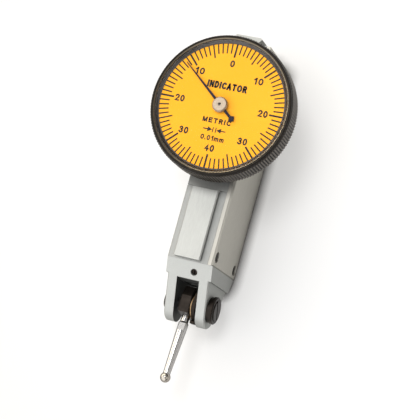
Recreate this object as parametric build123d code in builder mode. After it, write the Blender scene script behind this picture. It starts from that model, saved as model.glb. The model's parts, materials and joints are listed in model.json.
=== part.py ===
from build123d import *
import math
import os

os.makedirs("parts", exist_ok=True)

# A lever dial indicator lying on its back. +Z is the dial's normal, +Y runs from the
# stylus towards the rear dovetail, X runs across. The origin is on the back face, under
# the centre of the dial. All sizes are in millimetres and degrees.

# ---- body -----------------------------------------------------------------------------
body_half_width = 6.7
body_depth = 23.1
body_front_y = -42.3
body_rear_y = 21.6
cover_thickness = 1.45
cover_gap = 0.05
frame_right_x = body_half_width - cover_thickness - cover_gap
frame_centre_x = (frame_right_x - body_half_width) / 2
frame_width = frame_right_x + body_half_width
edge_break = 0.3

cavity_left_x = -5.0
cavity_front_y = -37.3
cavity_rear_y = 16.0
cavity_low_z = 2.2
cavity_high_z = 20.6

dovetail_width = 8.0
dovetail_height = 1.5
dovetail_flank = dovetail_height * math.tan(math.radians(30))
front_rail_start_y = -41.8
front_rail_end_y = -21.9
rear_dovetail_height = 2.0

# ---- dial, bezel and seat ---------------------------------------------------------------
dial_z = 32.6
dial_thickness = 0.5
dial_radius = 18.6
bezel_radius = 20.3
bezel_low_z = 26.2
bezel_top_z = 33.7
lip_radius = 18.85
seat_radius = 16.8
seat_top_z = 31.4
arbor_radius = 0.5
journal_radius = 0.4

# ---- lever and stylus -------------------------------------------------------------------
pivot_y = -53.2
pivot_z = 12.8
stylus_length = 21.8
stylus_tilt = 10.5
ball_radius = 1.45
slot_half_width = 3.3
ear_half_width = 6.1
ear_slope = 0.5
ear_radius = 4.85
axle_radius = 1.1

# ---- gear train -------------------------------------------------------------------------
gear_module = 0.2
pinion_teeth = 12
crown_teeth = 48
sector_teeth = 100
pinion_pitch_radius = gear_module * pinion_teeth / 2
crown_pitch_radius = gear_module * crown_teeth / 2
sector_pitch_radius = gear_module * sector_teeth / 2
pinion_tip_radius = pinion_pitch_radius + 0.12
pinion_root_radius = pinion_pitch_radius - 0.28
sector_pivot_y = -(sector_pitch_radius + pinion_pitch_radius)
turns_per_lever_radian = 2 * math.pi * stylus_length / 0.8
train_ratio = sector_teeth / pinion_teeth * crown_teeth / pinion_teeth
arm_ratio = turns_per_lever_radian / train_ratio
sector_tail = (sector_pivot_y - pivot_y) / (1 + arm_ratio)
lever_reach = sector_tail * arm_ratio
pin_y = pivot_y + lever_reach
pin_radius = 0.45
mesh_z = pivot_z + crown_pitch_radius
bearing_radius = 0.25
bearing_play = 0.02
jewel_radius = 0.9
jewel_thickness = 0.6
plate_low_x = 4.1
plate_high_x = 5.0

# ---- pointer ------------------------------------------------------------------------------
pointer_angle = 51.5
pointer_reach = 16.5
pointer_z = 32.95
counterweight_y = 5.1
counterweight_side = 1.45

stylus_axis = (0, -math.cos(math.radians(stylus_tilt)), math.sin(math.radians(stylus_tilt)))
side_plane_x = (0, 1, 0)


def side_plane(x):
    """A plane across X, with its own x along +Y and its own y along +Z."""
    return Plane(origin=(x, 0, 0), x_dir=side_plane_x, z_dir=(1, 0, 0))


def save(piece, label):
    """Labels a finished piece and writes it to its own file."""
    piece.part.label = label
    export_step(piece.part, f"parts/{label}.step")


def tooth(root_radius, tip_radius, root_half, tip_half):
    """One straight-sided gear tooth about the sketch's +X direction."""
    inner = root_radius - 0.05
    with BuildSketch(mode=Mode.PRIVATE) as shape:
        Polygon(
            (inner, -root_half),
            (tip_radius, -tip_half),
            (tip_radius, tip_half),
            (inner, root_half),
            align=None,
        )
    return shape.sketch


def pinion(plane, phase, length):
    """A twelve-tooth pinion standing on a plane, its first tooth at the given angle."""
    with BuildPart() as wheel:
        with BuildSketch(plane):
            Circle(pinion_root_radius)
            with PolarLocations(0, pinion_teeth, start_angle=phase):
                add(tooth(pinion_root_radius, pinion_tip_radius, 0.15, 0.08))
        extrude(amount=length)
    return wheel.part


def slotted_screw(head_radius, head_height, shank_radius, shank_length, slot_width):
    """A slotted screw along Z with its head's underside at the origin and its shank below."""
    with BuildPart() as screw:
        with BuildSketch():
            Circle(head_radius)
        extrude(amount=head_height)
        chamfer(screw.edges().group_by(Axis.Z)[-1], length=head_height * 0.15)
        with BuildSketch():
            Circle(shank_radius)
        extrude(amount=-shank_length)
        chamfer(screw.edges().group_by(Axis.Z)[0], length=shank_radius * 0.25)
        with BuildSketch(Plane.XY.offset(head_height * 0.45)):
            Rectangle(2.2 * head_radius, slot_width)
        extrude(amount=head_height, mode=Mode.SUBTRACT)
    return screw.part


# =========================================================================================
# Body frame: a deep channel, open on its right side, with a dovetail in front and behind
# =========================================================================================
window_low_z = 7.5
window_high_z = 16.5
window_left_x = -2.9
window_right_x = 3.7
boss_radius = 1.5
plate_screws = ((-14.8, 5.0), (6.2, 4.6))
cover_screws_at = ((-39.5, 20.9), (-39.7, 2.5), (18.8, 20.4), (18.8, 2.7))
cover_screw_radius = 0.8
seat_screws_at = ((-3.4, 9.2), (2.6, 9.2), (-3.4, -9.2), (2.6, -9.2))
seat_screw_radius = 0.8
bracket_screws_at = ((-1.6, 4.9), (-1.6, 18.2))
bracket_screw_radius = 1.0
channel_depth = 0.45
channel_width = 0.8

with BuildPart() as body_frame:
    with BuildSketch(Plane.XZ.offset(-body_rear_y)):
        with Locations((frame_centre_x, body_depth / 2)):
            Rectangle(frame_width, body_depth)
    extrude(amount=body_rear_y - body_front_y)
    left_edges = body_frame.edges().filter_by(Axis.Y).group_by(Axis.X)[0]
    chamfer(left_edges, length=edge_break)
    # front dovetail rail, wider at its top than at its root
    with BuildSketch(Plane.XZ.offset(-front_rail_end_y)):
        with Locations((frame_centre_x, body_depth - 0.01)):
            Polygon(
                (-dovetail_width / 2 + dovetail_flank, 0),
                (dovetail_width / 2 - dovetail_flank, 0),
                (dovetail_width / 2, dovetail_height - 0.35),
                (dovetail_width / 2 - 0.35, dovetail_height),
                (-dovetail_width / 2 + 0.35, dovetail_height),
                (-dovetail_width / 2, dovetail_height - 0.35),
                align=None,
            )
    extrude(amount=front_rail_end_y - front_rail_start_y)
    # rear dovetail, over the body's whole depth
    with BuildSketch(Plane.XY):
        with Locations((frame_centre_x, body_rear_y - 0.01)):
            Polygon(
                (-dovetail_width / 2 + 1.15, 0),
                (-dovetail_width / 2, rear_dovetail_height - 0.35),
                (-dovetail_width / 2 + 0.35, rear_dovetail_height),
                (dovetail_width / 2 - 0.35, rear_dovetail_height),
                (dovetail_width / 2, rear_dovetail_height - 0.35),
                (dovetail_width / 2 - 1.15, 0),
                align=None,
            )
    extrude(amount=body_depth)
    # relief slits that end the two channels beside the front rail
    slit_y = front_rail_end_y + 0.25
    with BuildSketch(Plane.XY.offset(body_depth - channel_depth)):
        with Locations((-5.6, slit_y), (4.4, slit_y)):
            Rectangle(2.3, 0.4)
    extrude(amount=2, mode=Mode.SUBTRACT)
    # movement cavity with two bosses that carry the movement plate
    with BuildSketch(side_plane(cavity_left_x)):
        cavity_length = cavity_rear_y - cavity_front_y
        cavity_height = cavity_high_z - cavity_low_z
        with Locations((cavity_front_y + cavity_length / 2, cavity_low_z + cavity_height / 2)):
            RectangleRounded(cavity_length, cavity_height, 0.8)
        with Locations(*plate_screws):
            Circle(boss_radius, mode=Mode.SUBTRACT)
    extrude(amount=frame_right_x - cavity_left_x, mode=Mode.SUBTRACT)
    with BuildSketch(side_plane(plate_low_x)):
        with Locations(*plate_screws):
            Circle(boss_radius + 0.1)
    extrude(amount=frame_right_x - plate_low_x, mode=Mode.SUBTRACT)
    # window for the lever arm through the front wall
    with BuildSketch(Plane.XZ.offset(-cavity_front_y)):
        with Locations((
            (window_left_x + window_right_x) / 2,
            (window_low_z + window_high_z) / 2,
        )):
            Rectangle(window_right_x - window_left_x, window_high_z - window_low_z)
    extrude(amount=cavity_front_y - body_front_y, mode=Mode.SUBTRACT)
    # hole for the centre arbor through the front wall of the cavity
    with BuildSketch(Plane.XY.offset(cavity_high_z)):
        Circle(1.5)
    extrude(amount=body_depth - cavity_high_z, mode=Mode.SUBTRACT)
    # screw holes
    with BuildSketch(side_plane(frame_right_x)):
        with Locations(*cover_screws_at):
            Circle(cover_screw_radius)
    extrude(amount=-3.2, mode=Mode.SUBTRACT)
    with BuildSketch(side_plane(plate_low_x)):
        with Locations(*plate_screws):
            Circle(0.6)
    extrude(amount=-3.0, mode=Mode.SUBTRACT)
    with BuildSketch(Plane.XY.offset(body_depth)):
        with Locations(*seat_screws_at):
            Circle(seat_screw_radius)
    extrude(amount=-2.2, mode=Mode.SUBTRACT)
    with BuildSketch(Plane.XZ.offset(-cavity_front_y)):
        with Locations(*bracket_screws_at):
            Circle(bracket_screw_radius)
    extrude(amount=cavity_front_y - body_front_y, mode=Mode.SUBTRACT)
    # pockets for the two bearing jewels in the left wall
    with BuildSketch(side_plane(cavity_left_x)):
        with Locations((0, pivot_z), (sector_pivot_y, pivot_z)):
            Circle(jewel_radius)
    extrude(amount=-jewel_thickness, mode=Mode.SUBTRACT)
save(body_frame, "body_frame")

# =========================================================================================
# Side cover and its countersunk screws
# =========================================================================================
cover_inner_x = body_half_width - cover_thickness
countersink_radius = 1.55
countersink_depth = 0.75

with BuildPart() as side_cover:
    with BuildSketch(side_plane(cover_inner_x)):
        with Locations(((body_front_y + body_rear_y) / 2, body_depth / 2)):
            Rectangle(body_rear_y - body_front_y, body_depth)
    extrude(amount=cover_thickness)
    chamfer(side_cover.faces().sort_by(Axis.X)[-1].edges(), length=0.45)
    with BuildSketch(side_plane(cover_inner_x)):
        with Locations(*cover_screws_at):
            Circle(cover_screw_radius)
    extrude(amount=cover_thickness, mode=Mode.SUBTRACT)
    with BuildSketch(side_plane(body_half_width)):
        with Locations(*cover_screws_at):
            Circle(countersink_radius)
    extrude(amount=-(countersink_depth + 0.3), mode=Mode.SUBTRACT)
save(side_cover, "side_cover")

screw_seat_x = body_half_width - countersink_depth - 0.3
cover_screw = slotted_screw(1.5, 0.75, cover_screw_radius, 3.2, 0.35)
with BuildPart() as cover_screws:
    with Locations(*[
        Location(Plane(origin=(screw_seat_x, y, z), x_dir=side_plane_x, z_dir=(1, 0, 0)))
        for y, z in cover_screws_at
    ]):
        add(cover_screw)
save(cover_screws, "cover_screws")

# =========================================================================================
# Fork bracket that carries the lever's pivot
# =========================================================================================
bracket_step_y = -46.45
bracket_front_z = body_depth - 0.3
bracket_back_z = 0.4
slot_end_y = -47.0
ear_centre_y = -53.85
ear_centre_z = (bracket_front_z + bracket_back_z) / 2
slope_angle = math.degrees(math.atan(ear_slope))
set_screw_radius = 1.0
set_screw_y = -45.0
set_screw_x = 1.5
slope_normal = Vector(0, -math.sin(math.radians(slope_angle)), math.cos(math.radians(slope_angle)))


def slope_z(y):
    """Height of the bracket's sloping front face at y."""
    return bracket_front_z + ear_slope * (y - body_front_y)


tangent_y = ear_centre_y - ear_radius * math.sin(math.radians(slope_angle))
tangent_z = ear_radius * math.cos(math.radians(slope_angle))
with BuildPart() as fork_bracket:
    with BuildSketch(side_plane(-body_half_width)):
        with BuildLine():
            Polyline(
                (tangent_y, ear_centre_z + tangent_z),
                (body_front_y, bracket_front_z),
                (body_front_y, bracket_back_z),
                (tangent_y, ear_centre_z - tangent_z),
            )
            ThreePointArc(
                (tangent_y, ear_centre_z - tangent_z),
                (ear_centre_y - ear_radius, ear_centre_z),
                (tangent_y, ear_centre_z + tangent_z),
            )
        make_face()
    extrude(amount=2 * body_half_width)
    # the ears are a little narrower than the block
    with BuildSketch(Plane.XY):
        for side in (-1, 1):
            with Locations((side * (ear_half_width + 1), bracket_step_y - 10)):
                Rectangle(2, 20)
    extrude(amount=body_depth, mode=Mode.SUBTRACT)
    # fork slot, its end wall leaning back below the front face
    with BuildSketch(side_plane(-slot_half_width)):
        with BuildLine():
            Polyline(
                (-60, -1),
                (slot_end_y - 0.45, -1),
                (slot_end_y - 0.45, 15.0),
                (slot_end_y, slope_z(slot_end_y)),
                (slot_end_y, 25),
                (-60, 25),
                close=True,
            )
        make_face()
    extrude(amount=2 * slot_half_width, mode=Mode.SUBTRACT)
    # window for the lever arm
    with BuildSketch(Plane.XZ.offset(-body_front_y)):
        with Locations((
            (window_left_x + slot_half_width) / 2,
            (window_low_z + window_high_z - 1) / 2,
        )):
            Rectangle(slot_half_width - window_left_x, window_high_z - 1 - window_low_z)
    extrude(amount=6, mode=Mode.SUBTRACT)
    # bores for the two pivot screws
    with BuildSketch(side_plane(slot_half_width)):
        with Locations((pivot_y, pivot_z)):
            Circle(2.5)
    extrude(amount=5, mode=Mode.SUBTRACT)
    with BuildSketch(side_plane(-slot_half_width)):
        with Locations((pivot_y, pivot_z)):
            Circle(1.8)
    extrude(amount=-5, mode=Mode.SUBTRACT)
    # screw holes: two from the cavity, one across the sloping face
    with BuildSketch(Plane.XZ.offset(-body_front_y)):
        with Locations(*bracket_screws_at):
            Circle(bracket_screw_radius)
    extrude(amount=2.0, mode=Mode.SUBTRACT)
    screw_mouth = Plane(
        origin=(set_screw_x, set_screw_y, slope_z(set_screw_y)), x_dir=(1, 0, 0), z_dir=slope_normal
    )
    with BuildSketch(screw_mouth):
        Circle(set_screw_radius)
    extrude(amount=-3.4, mode=Mode.SUBTRACT)
    outer_edges = (
        fork_bracket.edges()
        .filter_by(lambda e: abs(abs(e.center().X) - ear_half_width) < 0.01)
        .filter_by(lambda e: e.center().Y < bracket_step_y - 0.2)
        .filter_by(lambda e: e.geom_type != GeomType.CIRCLE or e.radius > 3)
    )
    chamfer(outer_edges, length=0.3)
save(fork_bracket, "fork_bracket")

bracket_screw = slotted_screw(1.6, 1.1, bracket_screw_radius, 6.6, 0.4)
with BuildPart() as bracket_screws:
    with Locations(*[
        Location(Plane(origin=(x, cavity_front_y, z), x_dir=(1, 0, 0), z_dir=(0, 1, 0)))
        for x, z in bracket_screws_at
    ]):
        add(bracket_screw)
save(bracket_screws, "bracket_screws")

with BuildPart() as set_screw:
    with BuildSketch(screw_mouth.offset(-0.7)):
        Circle(set_screw_radius)
    extrude(amount=-2.7)
    with BuildSketch(screw_mouth.offset(-0.7)):
        Rectangle(0.35, 2.2 * set_screw_radius)
    extrude(amount=-0.6, mode=Mode.SUBTRACT)
save(set_screw, "set_screw")

# =========================================================================================
# Pivot screws: a plain one on the left, a collar with a slotted screw in it on the right
# =========================================================================================
axle_end_radius = 0.6
axle_end_x = 4.2
axle_shoulder_x = 3.05
collar_radius = 3.9
collar_face_x = 8.0
collar_bore = 1.7
screw_nose_x = 3.35

with BuildPart() as pivot_screw_left:
    with BuildSketch(side_plane(-screw_nose_x)):
        with Locations((pivot_y, pivot_z)):
            Circle(1.8)
    extrude(amount=-(ear_half_width - screw_nose_x))
    with BuildSketch(side_plane(-ear_half_width)):
        with Locations((pivot_y, pivot_z)):
            Circle(2.6)
    extrude(amount=-0.9)
    chamfer(pivot_screw_left.edges().group_by(Axis.X)[0], length=0.25)
    with BuildSketch(side_plane(-ear_half_width - 0.4)):
        with Locations(Location((pivot_y, pivot_z, 0), (0, 0, 35))):
            Rectangle(6, 0.55)
    extrude(amount=-1, mode=Mode.SUBTRACT)
    with BuildSketch(side_plane(-screw_nose_x)):
        with Locations((pivot_y, pivot_z)):
            Circle(axle_end_radius + bearing_play)
    extrude(amount=-1.1, mode=Mode.SUBTRACT)
save(pivot_screw_left, "pivot_screw_left")

with BuildPart() as pivot_collar:
    with BuildSketch(side_plane(slot_half_width)):
        with Locations((pivot_y, pivot_z)):
            Circle(2.5)
    extrude(amount=ear_half_width - slot_half_width)
    with BuildSketch(side_plane(ear_half_width)):
        with Locations((pivot_y, pivot_z)):
            Circle(collar_radius - 0.25)
    extrude(amount=1.0)
    with BuildSketch(side_plane(ear_half_width + 0.9)):
        with Locations((pivot_y, pivot_z)):
            Circle(collar_radius)
    extrude(amount=collar_face_x - ear_half_width - 0.9)
    chamfer(pivot_collar.edges().group_by(Axis.X)[-1], length=0.25)
    with BuildSketch(side_plane(collar_face_x - 0.6)):
        with Locations((pivot_y, pivot_z)):
            Circle(3.1)
    extrude(amount=1, mode=Mode.SUBTRACT)
    with BuildSketch(side_plane(slot_half_width)):
        with Locations((pivot_y, pivot_z)):
            Circle(collar_bore)
    extrude(amount=6, mode=Mode.SUBTRACT)
save(pivot_collar, "pivot_collar")

with BuildPart() as pivot_screw_right:
    with BuildSketch(side_plane(screw_nose_x)):
        with Locations((pivot_y, pivot_z)):
            Circle(collar_bore)
    extrude(amount=collar_face_x - 0.6 - screw_nose_x)
    with BuildSketch(side_plane(collar_face_x - 0.6)):
        with Locations((pivot_y, pivot_z)):
            Circle(2.95)
    extrude(amount=0.85)
    chamfer(pivot_screw_right.edges().group_by(Axis.X)[-1], length=0.2)
    with BuildSketch(side_plane(collar_face_x - 0.25)):
        with Locations(Location((pivot_y, pivot_z, 0), (0, 0, 35))):
            Rectangle(7, 0.6)
    extrude(amount=1, mode=Mode.SUBTRACT)
    with BuildSketch(side_plane(screw_nose_x)):
        with Locations((pivot_y, pivot_z)):
            Circle(axle_end_radius + bearing_play)
    extrude(amount=1.1, mode=Mode.SUBTRACT)
save(pivot_screw_right, "pivot_screw_right")

# =========================================================================================
# Lever: axle, cheek and arm in one rigid group, with the friction washer and its spacer
# =========================================================================================
cheek_low_x = 2.0
cheek_high_x = 2.9
cheek_radius = 4.1
arm_tip_y = pin_y + 0.9
lug_low_x = 1.55
lug_front_y = pivot_y - 5.05
lug_height = 2.8
lug_z = pivot_z - 0.5
washer_radius = 4.0

with BuildPart() as pivot_axle:
    with BuildSketch(side_plane(-axle_shoulder_x)):
        with Locations((pivot_y, pivot_z)):
            Circle(axle_radius)
    extrude(amount=2 * axle_shoulder_x)
    with BuildSketch(side_plane(-axle_end_x)):
        with Locations((pivot_y, pivot_z)):
            Circle(axle_end_radius)
    extrude(amount=2 * axle_end_x)
save(pivot_axle, "pivot_axle")

with BuildPart() as lever_arm:
    with BuildSketch(side_plane(cheek_low_x)):
        with Locations((pivot_y, pivot_z)):
            Circle(cheek_radius)
        Polygon(
            (pivot_y, pivot_z - 4.0),
            (pivot_y + 3.2, pivot_z - 3.7),
            (pivot_y + 5.4, pivot_z - 2.1),
            (pivot_y + 9, pivot_z - 1.6),
            (arm_tip_y, pivot_z - 0.8),
            (arm_tip_y, pivot_z + 0.8),
            (pivot_y + 9, pivot_z + 1.6),
            (pivot_y + 5.4, pivot_z + 2.1),
            (pivot_y + 3.2, pivot_z + 3.7),
            (pivot_y, pivot_z + 4.0),
            align=None,
        )
        with Locations((pivot_y - cheek_radius, lug_z)):
            Rectangle(1.0, lug_height - 1.0)
        with Locations((pivot_y, pivot_z)):
            Circle(axle_radius, mode=Mode.SUBTRACT)
        with Locations((pin_y, pivot_z)):
            Circle(pin_radius, mode=Mode.SUBTRACT)
    extrude(amount=cheek_high_x - cheek_low_x)
    # front lug, which reaches past the washer's edge
    with BuildSketch(side_plane(lug_low_x)):
        lug_length = pivot_y - washer_radius - 0.08 - lug_front_y
        with Locations((lug_front_y + lug_length / 2, lug_z)):
            RectangleRounded(lug_length, lug_height, 0.4)
    extrude(amount=cheek_high_x - lug_low_x)
save(lever_arm, "lever_arm")

with BuildPart() as drive_pin:
    with BuildSketch(side_plane(0.4)):
        with Locations((pin_y, pivot_z)):
            Circle(pin_radius)
    extrude(amount=cheek_high_x - 0.4)
    chamfer(drive_pin.edges().group_by(Axis.X)[0], length=0.12)
save(drive_pin, "drive_pin")

with BuildPart() as friction_washer:
    with BuildSketch(side_plane(1.52)):
        with Locations((pivot_y, pivot_z)):
            Circle(washer_radius)
            Circle(axle_radius, mode=Mode.SUBTRACT)
    extrude(amount=0.45)
save(friction_washer, "friction_washer")

with BuildPart() as axle_spacer:
    with BuildSketch(side_plane(-2.9)):
        with Locations((pivot_y, pivot_z)):
            Circle(2.1)
            Circle(axle_radius, mode=Mode.SUBTRACT)
    extrude(amount=1.05)
    chamfer(axle_spacer.faces().sort_by(Axis.X)[0].outer_wire().edges(), length=0.2)
save(axle_spacer, "axle_spacer")

# =========================================================================================
# Stylus holder, stylus and ball, which turn together on the axle against friction
# =========================================================================================
holder_left_x = -1.75
holder_right_x = 1.45
holder_front = 3.4
neck_radius = 1.15
flats_start = 5.7
flats_end = 7.9
shank_radius = 1.42
shank_tip_radius = 1.0

holder_plane = Plane(
    origin=(holder_right_x, pivot_y, pivot_z), x_dir=stylus_axis, z_dir=(-1, 0, 0)
)
with BuildPart() as stylus_holder:
    with BuildSketch(holder_plane):
        Polygon(
            (holder_front, 3.7),
            (-1.2, 4.7),
            (-4.1, 3.7),
            (-5.0, 0.6),
            (-4.2, -3.0),
            (-1.2, -4.4),
            (holder_front, -3.6),
            align=None,
        )
        Circle(axle_radius + 0.04, mode=Mode.SUBTRACT)
    extrude(amount=holder_right_x - holder_left_x)
    block_edges = stylus_holder.edges().filter_by(
        lambda e: e.geom_type == GeomType.LINE and abs(e.tangent_at(0.5).X) < 0.5
    )
    chamfer(block_edges, length=0.2)
    # tapped hole for the stylus's thread
    with BuildSketch(
        Plane(
            origin=Vector(0, pivot_y, pivot_z) + Vector(*stylus_axis) * holder_front,
            x_dir=(1, 0, 0),
            z_dir=stylus_axis,
        )
    ):
        Circle(0.8)
    extrude(amount=-1.8, mode=Mode.SUBTRACT)
save(stylus_holder, "stylus_holder")

ball_centre = Vector(0, pivot_y, pivot_z) + Vector(*stylus_axis) * stylus_length
stylus_radial = Plane(
    origin=(0, pivot_y, pivot_z), x_dir=stylus_axis, z_dir=(-1, 0, 0)
)
with BuildPart() as stylus_shank:
    with BuildSketch(stylus_radial):
        with BuildLine():
            Polyline(
                (holder_front - 1.7, 0),
                (holder_front - 1.7, 0.8),
                (holder_front, 0.8),
                (holder_front, neck_radius),
                (flats_start - 0.4, neck_radius),
                (flats_start, shank_radius),
                (flats_end + 0.4, shank_radius),
                (stylus_length, shank_tip_radius),
                (stylus_length, 0),
                close=True,
            )
        make_face()
    revolve(axis=Axis((0, pivot_y, pivot_z), stylus_axis))
    # two wrench flats, front and back
    flat_height = 1.12
    flat_centre = (flats_start + flats_end) / 2
    with BuildSketch(stylus_radial.offset(-3)):
        for side in (-1, 1):
            with Locations((flat_centre, side * (flat_height + 1))):
                Rectangle(flats_end - flats_start, 2)
    extrude(amount=6, mode=Mode.SUBTRACT)
    with Locations(Location(ball_centre)):
        Sphere(ball_radius, mode=Mode.SUBTRACT)
save(stylus_shank, "stylus_shank")

with BuildPart() as stylus_ball:
    with Locations(Location(ball_centre)):
        Sphere(ball_radius)
save(stylus_ball, "stylus_ball")

# =========================================================================================
# Sector: a forked tail driven by the lever's pin, and teeth that turn the crown's pinion
# =========================================================================================
sector_low_x = 0.7
sector_high_x = 1.5
sector_root_radius = sector_pitch_radius - 0.25
sector_tip_radius = sector_pitch_radius + 0.14
tooth_pitch = 360 / sector_teeth
sector_plane = Plane(
    origin=(sector_low_x, sector_pivot_y, pivot_z), x_dir=side_plane_x, z_dir=(1, 0, 0)
)

with BuildPart() as sector_gear:
    with BuildSketch(sector_plane):
        Circle(1.7)
        # toothed rim, spokes and tail
        with BuildLine():
            first = -5.2 * tooth_pitch
            last = 2.2 * tooth_pitch
            rim_start = PolarLine((0, 0), sector_root_radius, first)
            rim_end = PolarLine((0, 0), sector_root_radius, last)
            CenterArc((0, 0), sector_root_radius, first, last - first)
        make_face()
        for index in range(-5, 3):
            with PolarLocations(0, 1, start_angle=index * tooth_pitch):
                add(tooth(sector_root_radius, sector_tip_radius, 0.16, 0.1))
        Polygon(
            (0, -1.2),
            (0, 1.2),
            (-sector_tail - 0.7, 1.1),
            (-sector_tail - 0.7, -1.1),
            align=None,
        )
        with Locations((-sector_tail - 0.2, 0)):
            Rectangle(1.8, 2 * pin_radius + 0.16, mode=Mode.SUBTRACT)
        Circle(0.7, mode=Mode.SUBTRACT)
        with Locations((5.6, -0.9)):
            Circle(1.1, mode=Mode.SUBTRACT)
    extrude(amount=sector_high_x - sector_low_x)
save(sector_gear, "sector_gear")


def arbor_profile(y, shaft_radius):
    """A plain arbor along X between the left wall and the movement plate, at y."""
    with BuildPart() as arbor:
        with BuildSketch(side_plane(-4.8)):
            with Locations((y, pivot_z)):
                Circle(shaft_radius)
        extrude(amount=plate_low_x - 0.15 + 4.8)
        with BuildSketch(side_plane(cavity_left_x - 0.5)):
            with Locations((y, pivot_z)):
                Circle(bearing_radius)
        extrude(amount=plate_high_x - 0.1 - cavity_left_x + 0.5)
    return arbor.part


with BuildPart() as sector_arbor:
    add(arbor_profile(sector_pivot_y, 0.7))
save(sector_arbor, "sector_arbor")

# =========================================================================================
# Crown wheel and its arbor, with the pinion that the sector drives
# =========================================================================================
crown_tip_x = -(pinion_pitch_radius - 0.12)
crown_root_x = -1.6
crown_back_x = -2.4
crown_inner_radius = crown_pitch_radius - 0.35
crown_outer_radius = crown_pitch_radius + 0.3
crown_plane = Plane(origin=(crown_back_x, 0, pivot_z), x_dir=side_plane_x, z_dir=(1, 0, 0))

with BuildPart() as crown_gear:
    with BuildSketch(crown_plane):
        Circle(crown_outer_radius)
        Circle(crown_inner_radius, mode=Mode.SUBTRACT)
    extrude(amount=crown_root_x - crown_back_x)
    with BuildSketch(crown_plane):
        Circle(crown_inner_radius + 0.2)
        Circle(0.6, mode=Mode.SUBTRACT)
        with PolarLocations(2.9, 4, start_angle=45):
            Circle(1.15, mode=Mode.SUBTRACT)
    extrude(amount=0.4)
    with BuildSketch(crown_plane.offset(crown_root_x - crown_back_x)):
        with PolarLocations((crown_inner_radius + crown_outer_radius) / 2, crown_teeth):
            Rectangle(crown_outer_radius - crown_inner_radius - 0.04, 0.22)
    extrude(amount=crown_tip_x - crown_root_x)
    with BuildSketch(crown_plane):
        Circle(1.3)
        Circle(0.6, mode=Mode.SUBTRACT)
    extrude(amount=1.1)
save(crown_gear, "crown_gear")

drive_pinion_plane = Plane(origin=(0.45, 0, pivot_z), x_dir=side_plane_x, z_dir=(1, 0, 0))
with BuildPart() as crown_arbor:
    add(arbor_profile(0, 0.6))
    add(pinion(drive_pinion_plane, 15, 1.3))
save(crown_arbor, "crown_arbor")

# =========================================================================================
# Movement plate with its shelf, the jewels and the plate's screws
# =========================================================================================
shelf_low_z = 14.75
shelf_high_z = 15.55
shelf_left_x = -1.3

with BuildPart() as movement_plate:
    with BuildSketch(side_plane(plate_low_x)):
        with BuildLine():
            Polyline(
                (-16.8, 3.2), (8.2, 2.8), (8.2, 8.0), (3.0, 16.2), (-8.0, 16.2), (-16.8, 13.0),
                close=True,
            )
        make_face()
        with Locations(*plate_screws):
            Circle(0.6, mode=Mode.SUBTRACT)
        with Locations((0, pivot_z), (sector_pivot_y, pivot_z)):
            Circle(jewel_radius, mode=Mode.SUBTRACT)
    extrude(amount=plate_high_x - plate_low_x)
    # shelf under the centre pinion
    with BuildSketch(Plane.XY.offset(shelf_low_z)):
        with Locations(((shelf_left_x + plate_low_x + 0.2) / 2, 0.75)):
            Rectangle(plate_low_x + 0.2 - shelf_left_x, 2.9)
        Circle(jewel_radius, mode=Mode.SUBTRACT)
    extrude(amount=shelf_high_z - shelf_low_z)
    with BuildSketch(side_plane(plate_high_x)):
        with Locations(*plate_screws):
            Circle(1.2)
    extrude(amount=-0.45, mode=Mode.SUBTRACT)
save(movement_plate, "movement_plate")

plate_screw = slotted_screw(1.1, 0.5, 0.6, 3.2, 0.3)
with BuildPart() as plate_screws_group:
    with Locations(*[
        Location(Plane(origin=(plate_high_x - 0.45, y, z), x_dir=side_plane_x, z_dir=(1, 0, 0)))
        for y, z in plate_screws
    ]):
        add(plate_screw)
save(plate_screws_group, "plate_screws")

upper_bridge_z = 28.6
upper_bridge_thickness = 1.0


def jewel(radius):
    """A bearing jewel standing on the XY plane, its hole fitting an arbor end of that radius."""
    with BuildPart() as ring:
        with BuildSketch():
            Circle(jewel_radius)
            Circle(radius + bearing_play, mode=Mode.SUBTRACT)
        extrude(amount=jewel_thickness)
    return ring.part


with BuildPart() as jewel_bearings:
    with Locations(*[
        Location(Plane(origin=(x, y, pivot_z), x_dir=side_plane_x, z_dir=(1, 0, 0)))
        for x in (cavity_left_x - jewel_thickness, plate_low_x + 0.15)
        for y in (0, sector_pivot_y)
    ]):
        add(jewel(bearing_radius))
    with Locations((0, 0, shelf_low_z + 0.1)):
        add(jewel(bearing_radius))
    with Locations((0, 0, upper_bridge_z + 0.2)):
        add(jewel(journal_radius))
save(jewel_bearings, "jewel_bearings")

# =========================================================================================
# Dial seat: the round cup on the body in which the hairspring and upper bridge sit
# =========================================================================================
seat_floor_z = 24.3
seat_foot_radius = 13.2
seat_flange_radius = 17.4
seat_flange_z = bezel_low_z - 0.25
cup_radius = 15.4
bridge_post_y = 12.6
ring_groove_low_z = 29.2
ring_groove_high_z = 29.9

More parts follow.
